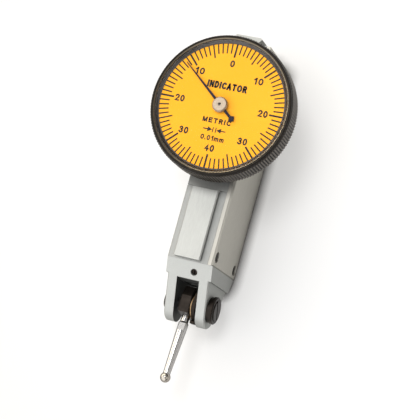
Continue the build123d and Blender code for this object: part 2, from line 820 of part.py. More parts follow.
with BuildPart() as dial_seat:
    with BuildSketch(Plane.XZ):
        with BuildLine():
            Polyline(
                (0, body_depth),
                (seat_foot_radius, body_depth),
                (seat_flange_radius, seat_flange_z - 0.7),
                (seat_flange_radius, seat_flange_z),
                (seat_radius, seat_flange_z),
                (seat_radius, ring_groove_low_z),
                (seat_radius - 0.5, ring_groove_low_z),
                (seat_radius - 0.5, ring_groove_high_z),
                (seat_radius, ring_groove_high_z),
                (seat_radius, seat_top_z),
                (cup_radius, seat_top_z),
                (cup_radius, seat_floor_z + 1.7),
                (cup_radius - 2.0, seat_floor_z),
                (0, seat_floor_z),
                close=True,
            )
        make_face()
    revolve(axis=Axis.Z)
    with BuildSketch(Plane.XY.offset(seat_floor_z)):
        with Locations((0, bridge_post_y), (0, -bridge_post_y)):
            Circle(1.6)
    extrude(amount=upper_bridge_z - seat_floor_z)
    with BuildSketch(Plane.XY.offset(body_depth)):
        Circle(1.5)
        with Locations(*seat_screws_at):
            Circle(seat_screw_radius)
    extrude(amount=2, mode=Mode.SUBTRACT)
    with BuildSketch(Plane.XY.offset(upper_bridge_z)):
        with Locations((0, bridge_post_y), (0, -bridge_post_y)):
            Circle(0.6)
    extrude(amount=-3.0, mode=Mode.SUBTRACT)
save(dial_seat, "dial_seat")

seat_screw = slotted_screw(1.45, 0.8, seat_screw_radius, 3.2, 0.35)
with BuildPart() as seat_screws:
    with Locations(*[(x, y, seat_floor_z) for x, y in seat_screws_at]):
        add(seat_screw)
save(seat_screws, "seat_screws")

with BuildPart() as upper_bridge:
    with BuildSketch(Plane.XY.offset(upper_bridge_z)):
        SlotCenterToCenter(2 * bridge_post_y, 4.0, rotation=90)
        Circle(3.0)
        Circle(jewel_radius, mode=Mode.SUBTRACT)
        with Locations((0, bridge_post_y), (0, -bridge_post_y)):
            Circle(0.6, mode=Mode.SUBTRACT)
    extrude(amount=upper_bridge_thickness)
save(upper_bridge, "upper_bridge")

bridge_screw = slotted_screw(1.1, 0.6, 0.6, 3.6, 0.3)
with BuildPart() as bridge_screws:
    with Locations(*[
        (0, side * bridge_post_y, upper_bridge_z + upper_bridge_thickness) for side in (-1, 1)
    ]):
        add(bridge_screw)
save(bridge_screws, "bridge_screws")

with BuildPart() as bezel_spring_ring:
    with BuildSketch(Plane.XY.offset(ring_groove_low_z + 0.05)):
        Circle(seat_radius + 0.35)
        Circle(seat_radius - 0.45, mode=Mode.SUBTRACT)
        with Locations((0, -seat_radius)):
            Rectangle(3.0, 3.0, mode=Mode.SUBTRACT)
    extrude(amount=ring_groove_high_z - ring_groove_low_z - 0.1)
save(bezel_spring_ring, "bezel_spring_ring")

# =========================================================================================
# Centre arbor with its pinion, collet and hairspring
# =========================================================================================
collet_low_z = 24.9
collet_height = 1.0
collet_radius = 1.05
hairspring_thickness = 0.12
hairspring_start = 1.25
hairspring_end = 4.35
hairspring_turns = 4
arbor_top_z = 33.3

with BuildPart() as centre_pinion:
    with BuildSketch(Plane.XY.offset(shelf_low_z + 0.15)):
        Circle(bearing_radius)
    extrude(amount=1.0)
    with BuildSketch(Plane.XY.offset(shelf_high_z + 0.15)):
        Circle(arbor_radius)
    extrude(amount=upper_bridge_z - 0.1 - shelf_high_z - 0.15)
    with BuildSketch(Plane.XY.offset(upper_bridge_z - 0.2)):
        Circle(journal_radius)
    extrude(amount=arbor_top_z - upper_bridge_z + 0.2)
    add(pinion(Plane.XY.offset(mesh_z - 0.8), 15, 1.6))
save(centre_pinion, "centre_pinion")

with BuildPart() as hairspring_collet:
    with BuildSketch(Plane.XY.offset(collet_low_z)):
        Circle(collet_radius)
        Circle(arbor_radius, mode=Mode.SUBTRACT)
    extrude(amount=collet_height)
save(hairspring_collet, "hairspring_collet")


def spiral_points(offset):
    """Points of an Archimedean spiral from the collet outwards, moved out by offset."""
    steps = hairspring_turns * 12
    points = []
    for step in range(steps + 1):
        share = step / steps
        radius = hairspring_start + (hairspring_end - hairspring_start) * share + offset
        angle = 2 * math.pi * hairspring_turns * share
        points.append((radius * math.cos(angle), radius * math.sin(angle)))
    return points


with BuildPart() as hairspring:
    with BuildSketch(Plane.XY.offset(collet_low_z + 0.25)):
        with BuildLine():
            inner = Spline(*spiral_points(0))
            outer = Spline(*spiral_points(hairspring_thickness))
            Line(inner @ 0, outer @ 0)
            Line(inner @ 1, outer @ 1)
        make_face()
    extrude(amount=0.5)
save(hairspring, "hairspring")

with BuildPart() as hairspring_stud:
    with BuildSketch(Plane.XY.offset(seat_floor_z)):
        with Locations((hairspring_end + hairspring_thickness + 0.6, 0)):
            Rectangle(1.2, 1.0)
    extrude(amount=1.8)
save(hairspring_stud, "hairspring_stud")

# =========================================================================================
# Bezel, dial plate, clamp ring and crystal, which turn together
# =========================================================================================
bezel_bore = 16.9
crystal_low_z = 33.3
crystal_ceiling_z = 34.6
crystal_top_z = 35.4
crystal_inner_radius = 17.3
crystal_outer_radius = lip_radius - 0.05
clamp_inner_radius = 17.82
clamp_edge = 0.15
dial_ledge_z = dial_z - dial_thickness
groove_margin = 0.25

with BuildPart() as bezel:
    with BuildSketch(Plane.XZ):
        with BuildLine():
            Polyline(
                (bezel_bore, bezel_low_z + 0.3),
                (bezel_bore + 0.3, bezel_low_z),
                (bezel_radius - 0.35, bezel_low_z),
                (bezel_radius, bezel_low_z + 0.35),
                (bezel_radius, bezel_top_z - 0.35),
                (bezel_radius - 0.35, bezel_top_z),
                (lip_radius + 0.1, bezel_top_z),
                (lip_radius, bezel_top_z - 0.1),
                (lip_radius, dial_ledge_z),
                (bezel_bore + 0.7, dial_ledge_z),
                (bezel_bore + 0.3, dial_ledge_z - 0.4),
                (bezel_bore, dial_ledge_z - 0.4),
                (bezel_bore, ring_groove_high_z + groove_margin),
                (bezel_bore + 0.4, ring_groove_high_z + groove_margin),
                (bezel_bore + 0.4, ring_groove_low_z - groove_margin),
                (bezel_bore, ring_groove_low_z - groove_margin),
                close=True,
            )
        make_face()
    revolve(axis=Axis.Z)
save(bezel, "bezel")

with BuildPart() as dial_plate:
    with BuildSketch(Plane.XY.offset(dial_z - dial_thickness)):
        Circle(dial_radius)
        Circle(1.0, mode=Mode.SUBTRACT)
    extrude(amount=dial_thickness)
save(dial_plate, "dial_plate")

with BuildPart() as dial_clamp_ring:
    with BuildSketch(Plane.XZ):
        with BuildLine():
            Polyline(
                (clamp_inner_radius, dial_z),
                (lip_radius, dial_z),
                (lip_radius, crystal_low_z),
                (lip_radius - 0.15, crystal_low_z),
                (clamp_inner_radius + 0.3, dial_z + clamp_edge),
                (clamp_inner_radius, dial_z + clamp_edge),
                close=True,
            )
        make_face()
    revolve(axis=Axis.Z)
save(dial_clamp_ring, "dial_clamp_ring")

with BuildPart() as crystal:
    with BuildSketch(Plane.XZ):
        with BuildLine():
            Polyline(
                (0, crystal_ceiling_z),
                (crystal_inner_radius, crystal_ceiling_z),
                (crystal_inner_radius + 0.8, crystal_low_z),
                (crystal_outer_radius, crystal_low_z),
                (crystal_outer_radius, bezel_top_z),
                (crystal_outer_radius - 0.9, crystal_top_z - 0.25),
                (crystal_outer_radius - 1.2, crystal_top_z),
                (0, crystal_top_z),
                close=True,
            )
        make_face()
    revolve(axis=Axis.Z)
save(crystal, "crystal")

# =========================================================================================
# Pointer and its hub
# =========================================================================================
hub_radius = 2.15
needle_thickness = 0.22
needle_plane = Plane.XY.offset(pointer_z).rotated((0, 0, 90 + pointer_angle))
hub_low_z = pointer_z + needle_thickness
hub_top_z = 34.35

with BuildPart() as pointer:
    with BuildSketch(needle_plane):
        Polygon(
            (-counterweight_y, 0.36),
            (1.0, 0.4),
            (pointer_reach, 0.1),
            (pointer_reach, -0.1),
            (1.0, -0.4),
            (-counterweight_y, -0.36),
            align=None,
        )
        with Locations((-counterweight_y, 0)):
            Rectangle(counterweight_side, counterweight_side, rotation=45)
        Circle(1.4)
        Circle(journal_radius, mode=Mode.SUBTRACT)
    extrude(amount=needle_thickness)
save(pointer, "pointer")

with BuildPart() as pointer_hub:
    with BuildSketch(Plane.XZ):
        with BuildLine():
            Polyline(
                (journal_radius, hub_low_z),
                (hub_radius, hub_low_z),
                (hub_radius, hub_top_z - 0.35),
                (hub_radius - 0.3, hub_top_z),
                (journal_radius + 0.1, hub_top_z),
                (journal_radius, hub_top_z - 0.1),
                close=True,
            )
        make_face()
    revolve(axis=Axis.Z)
save(pointer_hub, "pointer_hub")
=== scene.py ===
import json
import math

import bmesh
import bpy
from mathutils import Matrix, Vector


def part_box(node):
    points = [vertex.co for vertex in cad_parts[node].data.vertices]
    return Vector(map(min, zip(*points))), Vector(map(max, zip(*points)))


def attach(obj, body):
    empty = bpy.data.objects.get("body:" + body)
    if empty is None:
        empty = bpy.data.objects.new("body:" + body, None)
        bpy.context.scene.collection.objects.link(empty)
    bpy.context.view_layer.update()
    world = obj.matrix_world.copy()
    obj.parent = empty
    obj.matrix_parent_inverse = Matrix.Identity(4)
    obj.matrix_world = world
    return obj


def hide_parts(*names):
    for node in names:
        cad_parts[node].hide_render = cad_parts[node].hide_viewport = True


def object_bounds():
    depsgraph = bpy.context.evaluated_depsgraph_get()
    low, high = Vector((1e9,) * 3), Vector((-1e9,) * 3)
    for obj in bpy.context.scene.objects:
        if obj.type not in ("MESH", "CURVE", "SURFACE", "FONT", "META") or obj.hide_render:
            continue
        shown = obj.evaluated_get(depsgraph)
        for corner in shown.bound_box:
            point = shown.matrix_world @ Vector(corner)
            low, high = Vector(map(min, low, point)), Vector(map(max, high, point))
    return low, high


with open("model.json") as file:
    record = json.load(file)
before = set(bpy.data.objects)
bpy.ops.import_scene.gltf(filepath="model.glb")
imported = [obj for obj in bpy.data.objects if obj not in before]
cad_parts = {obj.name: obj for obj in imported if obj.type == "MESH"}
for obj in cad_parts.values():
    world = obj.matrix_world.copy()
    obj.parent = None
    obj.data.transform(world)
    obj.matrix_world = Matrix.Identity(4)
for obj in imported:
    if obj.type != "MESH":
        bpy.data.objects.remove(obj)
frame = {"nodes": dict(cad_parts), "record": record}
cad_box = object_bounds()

# A lever dial indicator. MM turns millimetres into Blender's metres.
MM = 0.001
nodes = frame["nodes"]
scene = bpy.context.scene


# ---------------------------------------------------------------------------------------
# Camera, fitted to the photograph's dial and bezel
# ---------------------------------------------------------------------------------------
CAMERA_PLACE = (0.131463, -0.089377, 0.406279)
CAMERA_TURN = (0.234602, 0.274313, 0.276795)
CAMERA_SENSOR_MM = 36.0
CAMERA_LENS_MM = 127.0


def add_camera():
    """The photograph's viewing angle: above the dial, from the stylus's right."""
    data = bpy.data.cameras.new("camera")
    data.sensor_width = CAMERA_SENSOR_MM
    data.lens = CAMERA_LENS_MM
    camera = bpy.data.objects.new("camera", data)
    camera.location = CAMERA_PLACE
    camera.rotation_euler = CAMERA_TURN
    scene.collection.objects.link(camera)
    scene.camera = camera


add_camera()


# ---------------------------------------------------------------------------------------
# Node trees
# ---------------------------------------------------------------------------------------
# The Mix node's sockets for colours.
MIX_FIRST, MIX_SECOND, MIX_RESULT = 6, 7, 2
# The wave texture multiplies its scale by this on its own.
WAVE_FACTOR = 20


def shade(tone, brightness):
    return tuple(channel * brightness for channel in tone)


class Shader:
    """A material's node tree, with one Principled shader and short ways to feed it."""

    def __init__(self, name, **sockets):
        self.material = bpy.data.materials.new(name)
        self.material.use_nodes = True
        self.tree = self.material.node_tree
        self.tree.nodes.clear()
        output = self.add("ShaderNodeOutputMaterial")
        self.surface = self.add("ShaderNodeBsdfPrincipled")
        self.link(self.surface.outputs[0], output.inputs["Surface"])
        for socket, value in sockets.items():
            self.surface.inputs[socket.replace("_", " ")].default_value = value

    def add(self, kind, **settings):
        node = self.tree.nodes.new(kind)
        for key, value in settings.items():
            setattr(node, key, value)
        return node

    def link(self, source, target):
        self.tree.links.new(source, target)

    def place(self, stretch=(1, 1, 1)):
        """Object coordinates in metres, times the given stretch."""
        coordinates = self.add("ShaderNodeTexCoord")
        mapping = self.add("ShaderNodeMapping")
        mapping.inputs["Scale"].default_value = stretch
        self.link(coordinates.outputs["Object"], mapping.inputs["Vector"])
        return mapping.outputs["Vector"]

    def axes(self):
        """The X, Y and Z of the object coordinates."""
        node = self.add("ShaderNodeSeparateXYZ")
        self.link(self.place(), node.inputs["Vector"])
        return node.outputs["X"], node.outputs["Y"], node.outputs["Z"]

    def radius(self, x, y):
        """The distance from the dial's axis."""
        flat = self.add("ShaderNodeCombineXYZ")
        self.link(x, flat.inputs["X"])
        self.link(y, flat.inputs["Y"])
        length = self.add("ShaderNodeVectorMath", operation="LENGTH")
        self.link(flat.outputs["Vector"], length.inputs[0])
        return length.outputs["Value"]

    def noise(self, per_mm, stretch=(1, 1, 1), detail=3.0, roughness=0.55):
        """A noise value whose features are about 1 / per_mm millimetres across."""
        node = self.add("ShaderNodeTexNoise")
        node.inputs["Scale"].default_value = per_mm / MM
        node.inputs["Detail"].default_value = detail
        node.inputs["Roughness"].default_value = roughness
        self.link(self.place(stretch), node.inputs["Vector"])
        return node.outputs["Fac"]

    def math(self, operation, *values):
        """One calculation. Each value is a number or another node's output."""
        node = self.add("ShaderNodeMath", operation=operation)
        for socket, value in zip(node.inputs, values):
            if isinstance(value, bpy.types.NodeSocket):
                self.link(value, socket)
            else:
                socket.default_value = value
        return node.outputs[0]

    def rescale(self, value, start, end, low=0.0, high=1.0, kind="LINEAR"):
        """A value that runs from start to end, made to run from low to high and stop there."""
        node = self.add("ShaderNodeMapRange", interpolation_type=kind)
        node.inputs["From Min"].default_value = start
        node.inputs["From Max"].default_value = end
        node.inputs["To Min"].default_value = low
        node.inputs["To Max"].default_value = high
        self.link(value, node.inputs["Value"])
        return node.outputs["Result"]

    def ramp(self, value, *stops):
        """A colour ramp through (position, colour) stops."""
        node = self.add("ShaderNodeValToRGB")
        elements = node.color_ramp.elements
        for element, (position, colour) in zip(elements, stops, strict=True):
            element.position = position
            element.color = (*colour, 1)
        self.link(value, node.inputs["Fac"])
        return node.outputs["Color"]

    def mix(self, amount, first, second):
        """One colour turning into another as the amount goes from 0 to 1."""
        node = self.add("ShaderNodeMix", data_type="RGBA")
        self.link(amount, node.inputs["Factor"])
        self.link(first, node.inputs[MIX_FIRST])
        self.link(second, node.inputs[MIX_SECOND])
        return node.outputs[MIX_RESULT]

    def bump(self, value, depth_mm, strength):
        """A bump of the given depth on the Principled shader's normal."""
        node = self.add("ShaderNodeBump")
        node.inputs["Strength"].default_value = strength
        node.inputs["Distance"].default_value = depth_mm * MM
        self.link(value, node.inputs["Height"])
        self.link(node.outputs["Normal"], self.surface.inputs["Normal"])

    def colour(self, output):
        self.link(output, self.surface.inputs["Base Color"])

    def roughness(self, output):
        self.link(output, self.surface.inputs["Roughness"])

    def vary_roughness(self, value, low, high):
        """Roughness that runs from low to high with a value from 0 to 1."""
        self.roughness(self.rescale(value, 0, 1, low, high))


# ---------------------------------------------------------------------------------------
# Places on the object where its surface changes, and where shade is painted on it
# ---------------------------------------------------------------------------------------
# The bezel's straight serrations.
TEETH = 155
TOOTH_DEPTH = 0.28 * MM
# The bezel's flat lip, and the chamfer round its inner edge, cut through the blacking.
LIP_WIDTH = 1.45 * MM
LIP_EDGE = 0.38 * MM
# The blacking is all gone at this share of the chamfer's width from the lip's inner edge.
BARE_SHARE = 0.8
# How far the painted shadow of the bezel reaches from the bezel's edge over the body, and the
# share of that depth below the bezel at which it is as dark as it gets.
SHADOW_REACH = 4.5 * MM
SHADOW_FULL = 0.75
# From the back of the stylus holder to the end of the bracket's slot.
SLOT_CLEARANCE = 1.19 * MM
# How far from a flat face a point still counts as on it.
ON_THE_FLAT = 0.1 * MM
ON_THE_WALL = 0.02 * MM


def ahead_of(shader, along, y, value):
    """The value where the surface is nearer to the stylus than y, 0 behind it."""
    return shader.math("MULTIPLY", value, shader.math("LESS_THAN", along, y))


def oil_by_the_bezel(shader):
    """Painted shadow of the bezel: 1 beside its lower edge, falling to 0 a few millimetres
    away from it.
    """
    low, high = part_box("bezel")
    x, y, z = shader.axes()
    beside = shader.rescale(shader.radius(x, y), high.x + SHADOW_REACH, high.x, kind="SMOOTHSTEP")
    upper = shader.rescale(z, low.z - SHADOW_REACH, low.z - SHADOW_REACH * SHADOW_FULL)
    return ahead_of(shader, y, 0, shader.math("MULTIPLY", beside, upper))


def in_the_channels(shader):
    """Painted shade: 1 on the flat of the body beside the dovetail rail, 0 elsewhere."""
    _, y, z = shader.axes()
    level = shader.math("COMPARE", z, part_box("side_cover")[1].z, ON_THE_FLAT)
    return ahead_of(shader, y, 0, level)


def inside_the_fork(shader):
    """Painted shade: 1 on the walls of the bracket's slot, 0 elsewhere."""
    x, y, _ = shader.axes()
    half_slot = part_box("pivot_collar")[0].x + ON_THE_WALL
    slot_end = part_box("stylus_holder")[1].y + SLOT_CLEARANCE
    return ahead_of(shader, y, slot_end, shader.math("COMPARE", x, 0, half_slot))


def on_the_crests(shader, x, y, radius):
    """1 on the tips of the bezel's serrations, 0 between them and inside the bezel."""
    turn = shader.math("ARCTAN2", y, x)
    crest = shader.math("PINGPONG", shader.math("MULTIPLY", turn, TEETH / math.pi), 1.0)
    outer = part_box("bezel")[1].x
    edge = shader.rescale(radius, outer - TOOTH_DEPTH, outer)
    return shader.math("MULTIPLY", crest, edge)


def on_the_bare_rim(shader, radius):
    """1 on the bezel's inner chamfer and further in, 0 on its flat lip."""
    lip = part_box("bezel")[1].x - LIP_WIDTH
    return shader.rescale(radius, lip + LIP_EDGE, lip + LIP_EDGE * BARE_SHARE)


# ---------------------------------------------------------------------------------------
# Materials
# ---------------------------------------------------------------------------------------
# How much of its light a metal keeps at a grazing angle.
EDGE_TINT = (0.4, 0.4, 0.4, 1)
POLISHED_EDGE_TINT = (0.05, 0.05, 0.05, 1)
# Satin chrome's darkest and lightest streaks, as shares of its tone.
CLEAN = (0.93, 1.06)
# Painted shade on the flat beside the rail.
RAIL_SHADE = (0.70, 0.78)
# Painted shadow of the bezel on the body.
BEZEL_SHADOW = (0.38, 0.46)
# Painted shade inside the fork's slot.
FORK_SHADE = (0.26, 0.36)
# How rough the bezel's bare rim is, at its smoothest and roughest.
BARE_ROUGHNESS = (0.24, 0.30)


def satin_shader(name, roughness):
    """A satin metal without its colour, and the value of its grain, which runs along Y."""
    shader = Shader(name, Metallic=0.85, Specular_Tint=EDGE_TINT)
    streaks = shader.noise(per_mm=1.4, stretch=(6.0, 0.35, 6.0), detail=4)
    patches = shader.noise(per_mm=0.12, detail=2)
    shader.vary_roughness(patches, roughness - 0.05, roughness + 0.06)
    shader.bump(streaks, depth_mm=0.012, strength=0.5)
    return shader, streaks


def streaked(shader, streaks, tone, shares):
    low, high = shares
    return shader.ramp(streaks, (0.3, shade(tone, low)), (0.7, shade(tone, high)))


def satin_metal(name, tone, roughness):
    """Plain metal with a fine grain."""
    shader, streaks = satin_shader(name, roughness)
    shader.colour(streaked(shader, streaks, tone, CLEAN))
    return shader.material


def chromed_steel(name, tone, roughness):
    """Satin chrome with painted shade beside the rail, painted shadow by the bezel, painted
    shade inside the fork.
    """
    shader, streaks = satin_shader(name, roughness)
    surface = streaked(shader, streaks, tone, CLEAN)
    # Each mask paints shade over the clean streaks: beside the rail, under the bezel, in the
    # fork.
    for place, shares in (
        (in_the_channels, RAIL_SHADE),
        (oil_by_the_bezel, BEZEL_SHADOW),
        (inside_the_fork, FORK_SHADE),
    ):
        surface = shader.mix(place(shader), surface, streaked(shader, streaks, tone, shares))
    shader.colour(surface)
    return shader.material


def blackening(shader, tone):
    """A blackened surface's patches and specks, and its colour, browner where it is rubbed."""
    patches = shader.noise(per_mm=0.5, detail=5, roughness=0.65)
    specks = shader.noise(per_mm=9.0, detail=2)
    shader.bump(specks, depth_mm=0.008, strength=0.4)
    return patches, specks, shader.ramp(patches, (0.42, tone), (0.75, shade(tone, 1.7)))


def black_metal(name, tone, roughness, metallic=0.9):
    """Blackened metal with slightly browner, rubbed patches."""
    shader = Shader(name, Metallic=metallic, Specular_IOR_Level=0.3)
    _, specks, blacked = blackening(shader, tone)
    shader.colour(blacked)
    shader.vary_roughness(specks, roughness - 0.08, roughness + 0.1)
    return shader.material


def knurled_metal(name, tone, crest_tone, rim_tone, roughness):
    """The bezel's blackened metal, rubbed on its crests and bare on its inner rim."""
    shader = Shader(name, Metallic=0.9)
    patches, specks, blacked = blackening(shader, tone)
    worn = shader.ramp(patches, (0.35, crest_tone), (0.75, shade(crest_tone, 1.5)))
    bare = shader.ramp(specks, (0.3, shade(rim_tone, 0.9)), (0.7, rim_tone))
    x, y, _ = shader.axes()
    radius = shader.radius(x, y)
    crests = on_the_crests(shader, x, y, radius)
    rim = on_the_bare_rim(shader, radius)
    shader.colour(shader.mix(rim, shader.mix(crests, blacked, worn), bare))
    rubbed = shader.rescale(specks, 0, 1, roughness - 0.08, roughness + 0.1)
    smooth = shader.rescale(specks, 0, 1, *BARE_ROUGHNESS)
    shader.roughness(shader.mix(rim, rubbed, smooth))
    return shader.material


def polished_metal(name, tone, roughness):
    """Bright polished metal with faint turning marks."""
    shader = Shader(name, Metallic=1.0, Specular_Tint=POLISHED_EDGE_TINT)
    marks = shader.noise(per_mm=3.0, stretch=(1, 4, 1), detail=3)
    shader.colour(shader.ramp(marks, (0.3, shade(tone, 0.96)), (0.7, tone)))
    shader.vary_roughness(marks, roughness * 0.9, roughness * 1.15)
    return shader.material


def turned_metal(name, tone, roughness):
    """Metal faced on a lathe: fine rings about the dial's axis."""
    shader = Shader(name, Metallic=0.9)
    wave = shader.add("ShaderNodeTexWave", wave_type="RINGS", rings_direction="Z")
    radians_per_mm = 7.0
    wave.inputs["Scale"].default_value = radians_per_mm / MM / WAVE_FACTOR
    wave.inputs["Distortion"].default_value = 0.6
    shader.link(shader.place(), wave.inputs["Vector"])
    rings = wave.outputs["Fac"]
    shader.colour(shader.ramp(rings, (0, shade(tone, 0.9)), (1, tone)))
    shader.vary_roughness(rings, roughness - 0.05, roughness + 0.08)
    shader.bump(rings, depth_mm=0.006, strength=0.4)
    return shader.material


def dial_paint():
    """Baked yellow enamel with a very slight mottle."""
    shader = Shader("dial_yellow", Metallic=0.0, Specular_IOR_Level=0.15)
    mottle = shader.noise(per_mm=0.08, detail=3)
    deep, light = (0.83, 0.355, 0.010), (0.85, 0.375, 0.014)
    shader.colour(shader.ramp(mottle, (0.3, deep), (0.7, light)))
    grain = shader.noise(per_mm=6.0, detail=2)
    shader.vary_roughness(grain, 0.42, 0.55)
    shader.bump(grain, depth_mm=0.003, strength=0.3)
    return shader.material


def clear_crystal():
    """Clear window: see-through, with gloss only from its faces."""
    shader = Shader("crystal_clear", IOR=1.45, Alpha=0.02, Base_Color=(0.04, 0.04, 0.04, 1))
    scuffs = shader.noise(per_mm=0.3, detail=4)
    shader.vary_roughness(scuffs, 0.12, 0.2)
    return shader.material


def ruby():
    """Synthetic ruby jewels."""
    shader = Shader("ruby", Roughness=0.1, IOR=1.76)
    deep, light = (0.45, 0.01, 0.05), (0.6, 0.02, 0.08)
    shader.colour(shader.ramp(shader.noise(per_mm=1.0), (0.3, deep), (0.7, light)))
    return shader.material


materials = {
    "satin_chrome": chromed_steel("satin_chrome", (0.38, 0.385, 0.37), roughness=0.56),
    "cover_steel": chromed_steel("cover_steel", (0.50, 0.485, 0.44), roughness=0.50),
    "bezel_black": black_metal("bezel_black", (0.016, 0.013, 0.010), roughness=0.42),
    "ring_steel": turned_metal("ring_steel", (0.082, 0.076, 0.072), roughness=0.3),
    "dial_yellow": dial_paint(),
    "crystal_clear": clear_crystal(),
    "pointer_dark": black_metal("pointer_dark", (0.018, 0.016, 0.022), roughness=0.45),
    "hub_silver": turned_metal("hub_silver", (0.39, 0.32, 0.245), roughness=0.45),
    "black_oxide": black_metal("black_oxide", (0.018, 0.0145, 0.012), roughness=0.40),
    "chrome_bright": polished_metal("chrome_bright", (0.46, 0.45, 0.44), roughness=0.25),
    "carbide": polished_metal("carbide", (0.40, 0.37, 0.33), roughness=0.10),
    "bronze": satin_metal("bronze", (0.36, 0.24, 0.13), roughness=0.3),
    "dark_bronze": satin_metal("dark_bronze", (0.022, 0.017, 0.013), roughness=0.45),
    "brass_gear": satin_metal("brass_gear", (0.72, 0.5, 0.2), roughness=0.3),
    "arbor_steel": polished_metal("arbor_steel", (0.62, 0.62, 0.62), roughness=0.18),
    "spring_steel": polished_metal("spring_steel", (0.16, 0.19, 0.32), roughness=0.2),
    "ruby": ruby(),
}
print_ink = black_metal("dial_ink", (0.010, 0.010, 0.008), roughness=0.6, metallic=0.0)

slot_of = {entry["node"]: entry["material_slot"] for entry in frame["record"]["subparts"]}
for name, node in nodes.items():
    for slot in node.material_slots:
        slot.material = materials[slot_of[name]]


# ---------------------------------------------------------------------------------------
# Mesh helpers
# ---------------------------------------------------------------------------------------
def make_object(name, bm, material, body, sharp_deg=35):
    """Turns a bmesh into a finished piece that rides on a body."""
    bmesh.ops.recalc_face_normals(bm, faces=bm.faces)
    mesh = bpy.data.meshes.new(name)
    bm.to_mesh(mesh)
    bm.free()
    mesh.polygons.foreach_set("use_smooth", [True] * len(mesh.polygons))
    mesh.set_sharp_from_angle(angle=math.radians(sharp_deg))
    mesh.materials.append(material)
    piece = bpy.data.objects.new(name, mesh)
    scene.collection.objects.link(piece)
    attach(piece, body)
    return piece


def join_rings(bm, rings):
    """Joins closed rings of points, each to the next and the last to the first."""
    for column, ring in enumerate(rings):
        beside = rings[(column + 1) % len(rings)]
        for i in range(len(ring)):
            j = (i + 1) % len(ring)
            bm.faces.new((ring[i], beside[i], beside[j], ring[j]))


# ---------------------------------------------------------------------------------------
# Bezel with 155 straight serrations round its edge
# ---------------------------------------------------------------------------------------
# From the bezel's outer edge to its bore.
WALL = 3.4 * MM
# How deep the recess under the dial and the spring ring's groove are cut.
CUT = 0.4 * MM
# Room above and below the spring ring in its groove.
RING_ROOM = 0.3 * MM
COLUMNS_PER_TOOTH = 8
# Over 1, so that each serration's crest is a little flattened.
CREST_FLATTENING = 1.35
# Points closer to the outer radius than this are on the serrated face.
SAME_RADIUS = 1e-7
BEZEL_SHARP_DEG = 20


def bezel_profile(outer, bottom, top):
    """The bezel's cross section: (radius, z) from the bottom of the bore, outwards and up."""
    ring_low, ring_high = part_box("bezel_spring_ring")
    lip = outer - LIP_WIDTH
    bore = outer - WALL
    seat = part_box("dial_plate")[0].z
    return [
        (bore, bottom + 0.3 * MM),
        (bore + 0.3 * MM, bottom),
        (outer - 0.8 * MM, bottom),
        (outer - 0.55 * MM, bottom + 0.12 * MM),
        (outer - 0.3 * MM, bottom + 0.45 * MM),
        # The serrated face.
        (outer, bottom + 0.75 * MM),
        (outer, bottom + 1.2 * MM),
        (outer, (bottom + top) / 2),
        (outer, top - 1.3 * MM),
        (outer, top - 0.90 * MM),
        # The rounded upper edge.
        (outer - 0.26 * MM, top - 0.66 * MM),
        (outer - 0.32 * MM, top - 0.36 * MM),
        (outer - 0.42 * MM, top - 0.14 * MM),
        (outer - 0.58 * MM, top - 0.03 * MM),
        (outer - 0.72 * MM, top),
        # The lip with its bare inner edge.
        (lip + LIP_EDGE, top),
        (lip + 0.03 * MM, top - 0.16 * MM),
        (lip, top - 0.24 * MM),
        # The dial's seat, the recess under it, and the spring ring's groove.
        (lip, seat),
        (bore + 0.6 * MM, seat),
        (bore + 0.3 * MM, seat - CUT),
        (bore, seat - CUT),
        (bore, ring_high.z + RING_ROOM),
        (bore + CUT, ring_high.z + RING_ROOM),
        (bore + CUT, ring_low.z - RING_ROOM),
        (bore, ring_low.z - RING_ROOM),
    ]


def serrated(radius, outer, turn):
    """The radius at a point of the turn, which runs from 0 to 1, cut back between crests."""
    if radius < outer - SAME_RADIUS:
        return radius
    phase = (turn * TEETH) % 1
    crest = 1 - abs(2 * phase - 1)
    return radius - TOOTH_DEPTH * (1 - min(1, CREST_FLATTENING * crest))


def add_bezel():
    low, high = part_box("bezel")
    profile = bezel_profile(high.x, low.z, high.z)
    columns = TEETH * COLUMNS_PER_TOOTH
    bm = bmesh.new()
    rings = []
    for column in range(columns):
        turn = column / columns
        angle = 2 * math.pi * turn
        ring = []
        for r, z in profile:
            radius = serrated(r, high.x, turn)
            ring.append(bm.verts.new((radius * math.cos(angle), radius * math.sin(angle), z)))
        rings.append(ring)
    join_rings(bm, rings)
    knurl = knurled_metal(
        "bezel_knurl", (0.012, 0.010, 0.008), (0.095, 0.079, 0.063), (0.13, 0.107, 0.075),
        roughness=0.40,
    )
    bezel = make_object("knurled_bezel", bm, knurl, "bezel", BEZEL_SHARP_DEG)
    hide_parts("bezel")


add_bezel()


# ---------------------------------------------------------------------------------------
# Dial printing
# ---------------------------------------------------------------------------------------
PRINT_RISE = 0.04 * MM
dial_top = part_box("dial_plate")[1].z

# Sizes on the dial are in millimetres. Each bar has an inner radius, an outer radius and a
# width: every tenth, every fifth and the others.
DIVISIONS = 80
TENTH_BAR = (14.0, 17.8, 0.50)
FIFTH_BAR = (14.0, 17.8, 0.37)
OTHER_BAR = (15.0, 17.8, 0.36)

NUMERALS = 8
NUMERAL_RADIUS = 12.2
NUMERAL_HEIGHT = 1.95
NUMERAL_STROKE = 0.41
ONE_DIGIT_WIDTH = 1.3
TWO_DIGIT_WIDTH = 2.75


def print_mesh(name, bm):
    """Lays flat faces drawn at z = 0 on the dial as a thin printed layer.

    The layer's points and faces are made here one by one, because Blender's own extrude gives
    them in another order each run.
    """
    drawn = bm.faces[:]
    outline = [edge for edge in bm.edges if edge.is_boundary]
    raised = {point: bm.verts.new(point.co + Vector((0, 0, PRINT_RISE)))
              for point in bm.verts[:]}
    for face in drawn:
        bm.faces.new([raised[point] for point in face.verts])
    for edge in outline:
        first, second = edge.verts
        bm.faces.new((first, second, raised[second], raised[first]))
    bmesh.ops.translate(bm, verts=bm.verts, vec=(0, 0, dial_top))
    make_object(name, bm, print_ink, "bezel")


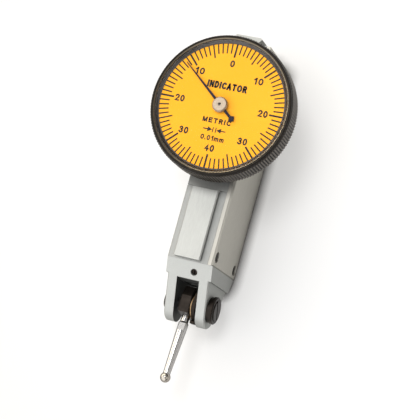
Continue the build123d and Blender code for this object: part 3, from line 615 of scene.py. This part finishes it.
def add_bar(bm, angle_deg, inner, outer, width):
    """A radial bar, its angle counted clockwise from +Y."""
    angle = math.radians(90 - angle_deg)
    along = Vector((math.cos(angle), math.sin(angle), 0))
    across = Vector((-along.y, along.x, 0)) * width / 2
    corners = (along * inner - across, along * outer - across,
               along * outer + across, along * inner + across)
    bm.faces.new([bm.verts.new(corner * MM) for corner in corners])


def add_divisions():
    bm = bmesh.new()
    for index in range(DIVISIONS):
        if index % 10 == 0:
            bar = TENTH_BAR
        elif index % 5 == 0:
            bar = FIFTH_BAR
        else:
            bar = OTHER_BAR
        add_bar(bm, index * 360 / DIVISIONS, *bar)
    print_mesh("dial_divisions", bm)


def arc(x, y, across, high, start, end, steps=12):
    """Points on an ellipse about (x, y), from one angle to another in degrees."""
    angles = [math.radians(start + (end - start) * i / steps) for i in range(steps + 1)]
    return [(x + across * math.cos(a), y + high * math.sin(a)) for a in angles]


# Plain upright letters one unit high: the centre lines of each letter's strokes.
LETTERS = {
    "0": [arc(0.28, 0.5, 0.28, 0.5, 90, 450, 24)],
    "1": [[(0.02, 0.74), (0.24, 0.98)], [(0.27, 1), (0.27, 0)]],
    "2": [arc(0.28, 0.72, 0.28, 0.28, 165, -40) + [(0, 0), (0.58, 0)]],
    "3": [arc(0.27, 0.75, 0.25, 0.25, 160, -80), arc(0.27, 0.26, 0.29, 0.27, 80, -160)],
    "4": [[(0.42, 0), (0.42, 1), (0, 0.3), (0.6, 0.3)]],
    "I": [[(0, 0), (0, 1)]],
    "N": [[(0, 0), (0, 1)], [(0, 0.95), (0.56, 0.05)], [(0.56, 0), (0.56, 1)]],
    "D": [[(0.2, 0), (0, 0), (0, 1), (0.2, 1)], arc(0.2, 0.5, 0.36, 0.5, 90, -90)],
    "C": [arc(0.34, 0.5, 0.34, 0.5, 48, 312, 18)],
    "A": [[(0, 0), (0.31, 0.98)], [(0.31, 0.98), (0.62, 0)], [(0.14, 0.32), (0.48, 0.32)]],
    "T": [[(0.28, 0), (0.28, 1)], [(0, 1), (0.56, 1)]],
    "O": [arc(0.36, 0.5, 0.36, 0.5, 90, 450, 24)],
    "R": [[(0, 0), (0, 1), (0.28, 1)], arc(0.28, 0.76, 0.24, 0.24, 90, -90),
          [(0, 0.52), (0.28, 0.52)], [(0.28, 0.5), (0.54, 0)]],
    "M": [[(0, 0), (0, 1)], [(0.02, 0.96), (0.34, 0.05)], [(0.34, 0.05), (0.66, 0.96)],
          [(0.68, 1), (0.68, 0)]],
    "E": [[(0.5, 1), (0, 1), (0, 0), (0.5, 0)], [(0, 0.52), (0.44, 0.52)]],
    "m": [[(0, 0), (0, 0.7)], arc(0.2, 0.48, 0.2, 0.22, 180, 0) + [(0.4, 0)],
          arc(0.6, 0.48, 0.2, 0.22, 180, 0) + [(0.8, 0)]],
    ".": [[(0, 0), (0, 0.04)]],
}
LETTER_GAP = 0.25
# A stroke whose ends are nearer than this, in metres, is a closed loop.
LOOP_CLOSED = 1e-6
# Limits how far a stroke's corner reaches out where the stroke turns sharply.
SHARPEST_LEAN = 0.6


def add_stroke(bm, points, width):
    """A flat ribbon along the points, with square ends."""
    points = [Vector((*point, 0)) for point in points]
    closed = (points[0] - points[-1]).length < LOOP_CLOSED
    if closed:
        points.pop()
    else:
        points[0] -= (points[1] - points[0]).normalized() * width / 2
        points[-1] += (points[-1] - points[-2]).normalized() * width / 2
    pairs = []
    for i, point in enumerate(points):
        before = points[i - 1] if closed or i else point
        after = points[(i + 1) % len(points)] if closed or i + 1 < len(points) else point
        along = (after - point).normalized() + (point - before).normalized()
        along.normalize()
        arm = (after - point) if after != point else (point - before)
        lean = max(SHARPEST_LEAN, abs(along.dot(arm.normalized())))
        side = Vector((-along.y, along.x, 0)) * width / 2 / lean
        pairs.append((bm.verts.new(point - side), bm.verts.new(point + side)))
    spans = len(pairs) if closed else len(pairs) - 1
    for i in range(spans):
        low, high = pairs[i], pairs[(i + 1) % len(pairs)]
        bm.faces.new((low[0], high[0], high[1], low[1]))


def add_words(name, words, centre, width, height, stroke):
    """Words drawn to an exact width and height about a centre on the dial."""
    gap = stroke / height + LETTER_GAP
    strokes = []
    reach = 0.0
    for letter in words:
        paths = LETTERS[letter]
        strokes += [[(x + reach, y) for x, y in path] for path in paths]
        reach += max(x for path in paths for x, y in path) + gap
    reach -= gap
    across = (width - stroke) / reach
    up = height - stroke
    bm = bmesh.new()
    for path in strokes:
        placed = [
            (((x - reach / 2) * across + centre[0]) * MM, ((y - 0.5) * up + centre[1]) * MM)
            for x, y in path
        ]
        add_stroke(bm, placed, stroke * MM)
    print_mesh(name, bm)


# The right half of the gap symbol: one division's edge, an arrow head and its shaft.
GAP_SYMBOL = (
    ((0.30, 0.72), (0.54, 0.72), (0.54, -0.72), (0.30, -0.72)),
    ((0.62, 0), (1.95, 0.68), (1.95, -0.68)),
    ((1.9, 0.14), (3.3, 0.14), (3.3, -0.14), (1.9, -0.14)),
)


def add_gap_symbol(centre_y):
    """The arrows that close on one division."""
    bm = bmesh.new()
    for side in (-1, 1):
        for corners in GAP_SYMBOL:
            bm.faces.new([
                bm.verts.new((side * x * MM, (y + centre_y) * MM, 0)) for x, y in corners
            ])
    print_mesh("dial_gap_symbol", bm)


def add_dial_printing():
    add_divisions()
    for index in range(NUMERALS):
        value = 10 * min(index, NUMERALS - index)
        angle = math.radians(90 - 360 / NUMERALS * index)
        centre = (NUMERAL_RADIUS * math.cos(angle), NUMERAL_RADIUS * math.sin(angle))
        width = ONE_DIGIT_WIDTH if value == 0 else TWO_DIGIT_WIDTH
        add_words(f"numeral_{index}", str(value), centre, width, NUMERAL_HEIGHT,
                  NUMERAL_STROKE)
    add_words("word_above", "INDICATOR", (0.25, 5.65), width=11.6, height=2.0, stroke=0.50)
    add_words("word_below", "METRIC", (0, -4.45), width=8.2, height=1.45, stroke=0.35)
    add_gap_symbol(centre_y=-7.05)
    add_words("word_unit", "0.01mm", (0.05, -9.4), width=6.8, height=1.45, stroke=0.30)


add_dial_printing()


# ---------------------------------------------------------------------------------------
# Wavy friction washer
# ---------------------------------------------------------------------------------------
WASHER_BORE_RADIUS = 1.12 * MM
WASHER_THICKNESS = 0.2 * MM
WASHER_WAVES = 3
WASHER_COLUMNS = 96


def add_washer():
    low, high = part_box("friction_washer")
    centre_y, centre_z = (low.y + high.y) / 2, (low.z + high.z) / 2
    inner, outer = WASHER_BORE_RADIUS, (high.z - low.z) / 2
    wave = (high.x - low.x - WASHER_THICKNESS) / 2
    middle = (low.x + high.x) / 2
    bm = bmesh.new()
    rings = []
    for column in range(WASHER_COLUMNS):
        angle = 2 * math.pi * column / WASHER_COLUMNS
        rise = wave * math.sin(WASHER_WAVES * angle)
        ring = []
        for radius, side in ((inner, -1), (outer, -1), (outer, 1), (inner, 1)):
            ring.append(bm.verts.new((
                middle + rise + side * WASHER_THICKNESS / 2,
                centre_y + radius * math.cos(angle),
                centre_z + radius * math.sin(angle),
            )))
        rings.append(ring)
    join_rings(bm, rings)
    washer = make_object("wavy_washer", bm, materials["bronze"], "lever")
    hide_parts("friction_washer")


add_washer()


# ---------------------------------------------------------------------------------------
# Floor and light
# ---------------------------------------------------------------------------------------
# Half the floor's side, in metres.
FLOOR_REACH = 1.5
FLOOR_GLOW_TINT = (1.0, 0.985, 0.965, 1)
FLOOR_OPEN = (0.48, 0.48, 0.48)
FLOOR_SHADED = (0.1, 0.095, 0.09)
# How near a thing must be for painted contact shade on the floor beside it, and how open to
# the sky the floor is where that painted shade is darkest.
CONTACT = 3.5 * MM
DARKEST_OPENNESS = 0.45
# The glow is strongest at this point, behind the object's right side, and ends this far away.
FLOOR_GLOW = 0.43
GLOW_CENTRE = (60 * MM, 35 * MM, 0)
GLOW_END = 260 * MM

# Soft lights in the surroundings: direction, cosine where it starts, cosine where it is full,
# and colour added there.
SOFTBOXES = (
    ((-0.62, 0.42, 0.66), 0.45, 0.93, (0.72, 0.72, 0.72)),
    ((-0.35, -0.72, 0.60), 0.50, 0.92, (1.80, 1.80, 1.80)),
    ((-0.89, 0.17, 0.42), 0.93, 0.985, (2.4, 2.15, 1.75)),
    ((-0.73, 0.57, 0.40), 0.93, 0.985, (2.4, 2.15, 1.75)),
    ((-0.36, 0.80, 0.48), 0.93, 0.985, (2.4, 2.15, 1.75)),
    ((0.90, -0.10, 0.45), 0.82, 0.97, (0.80, 0.78, 0.74)),
    ((0.0, 0.0, 1.0), 0.05, 0.60, (0.25, 0.25, 0.25)),
)
ROOM = (0.12, 0.12, 0.12)

SUN_ENERGY = 1.15
SUN_ANGLE_DEG = 20
SUN_TOWARDS = (0.02, 0.20, 1.0)


def floor_white():
    """White that glows a little, less so near the object and far away from it, with painted
    contact shade.
    """
    shader = Shader("floor_white", Roughness=0.7, Specular_IOR_Level=0.1,
                    Emission_Color=FLOOR_GLOW_TINT)
    openness = shader.add("ShaderNodeAmbientOcclusion", samples=16)
    openness.inputs["Distance"].default_value = CONTACT
    near = shader.rescale(openness.outputs["AO"], DARKEST_OPENNESS, 1)
    distance = shader.add("ShaderNodeVectorMath", operation="DISTANCE")
    distance.inputs[1].default_value = GLOW_CENTRE
    shader.link(shader.place(), distance.inputs[0])
    fade = shader.rescale(distance.outputs["Value"], GLOW_END, 0, high=FLOOR_GLOW)
    glow = shader.math("MULTIPLY", near, fade)
    shader.link(glow, shader.surface.inputs["Emission Strength"])
    # Painted contact shade: the floor's colour darkens where things are near.
    shader.colour(shader.ramp(
        openness.outputs["AO"], (DARKEST_OPENNESS, FLOOR_SHADED), (1, FLOOR_OPEN)
    ))
    return shader.material


def add_floor():
    """A plain white light table: it glows a little, so shadows on it stay soft."""
    size = FLOOR_REACH
    bm = bmesh.new()
    for x, y in ((-size, -size), (size, -size), (size, size), (-size, size)):
        bm.verts.new((x, y, cad_box[0][2]))
    bm.faces.new(bm.verts)
    mesh = bpy.data.meshes.new("floor")
    bm.to_mesh(mesh)
    bm.free()
    mesh.materials.append(floor_white())
    floor = bpy.data.objects.new("floor", mesh)
    scene.collection.objects.link(floor)


def add_world():
    """Soft studio surroundings: an even grey room with large soft lights."""
    world = bpy.data.worlds.new("studio")
    world.use_nodes = True
    tree = world.node_tree
    background = tree.nodes["Background"]
    background.inputs["Strength"].default_value = 1.0
    coordinates = tree.nodes.new("ShaderNodeTexCoord")
    total = None
    for towards, edge, core, colour in SOFTBOXES:
        facing = tree.nodes.new("ShaderNodeVectorMath")
        facing.operation = "DOT_PRODUCT"
        facing.inputs[1].default_value = Vector(towards).normalized()
        tree.links.new(coordinates.outputs["Generated"], facing.inputs[0])
        fall = tree.nodes.new("ShaderNodeMapRange")
        fall.interpolation_type = "SMOOTHSTEP"
        fall.inputs["From Min"].default_value = edge
        fall.inputs["From Max"].default_value = core
        tree.links.new(facing.outputs["Value"], fall.inputs["Value"])
        light = tree.nodes.new("ShaderNodeVectorMath")
        light.operation = "MULTIPLY_ADD"
        light.inputs[0].default_value = colour
        tree.links.new(fall.outputs["Result"], light.inputs[1])
        light.inputs[2].default_value = ROOM
        if total:
            tree.links.new(total, light.inputs[2])
        total = light.outputs["Vector"]
    tree.links.new(total, background.inputs["Color"])
    scene.world = world


def add_sun():
    data = bpy.data.lights.new("key", type="SUN")
    data.energy = SUN_ENERGY
    data.angle = math.radians(SUN_ANGLE_DEG)
    sun = bpy.data.objects.new("key", data)
    sun.rotation_euler = Vector(SUN_TOWARDS).to_track_quat("Z", "Y").to_euler()
    scene.collection.objects.link(sun)


add_floor()
add_world()
add_sun()
scene.view_settings.view_transform = "Standard"
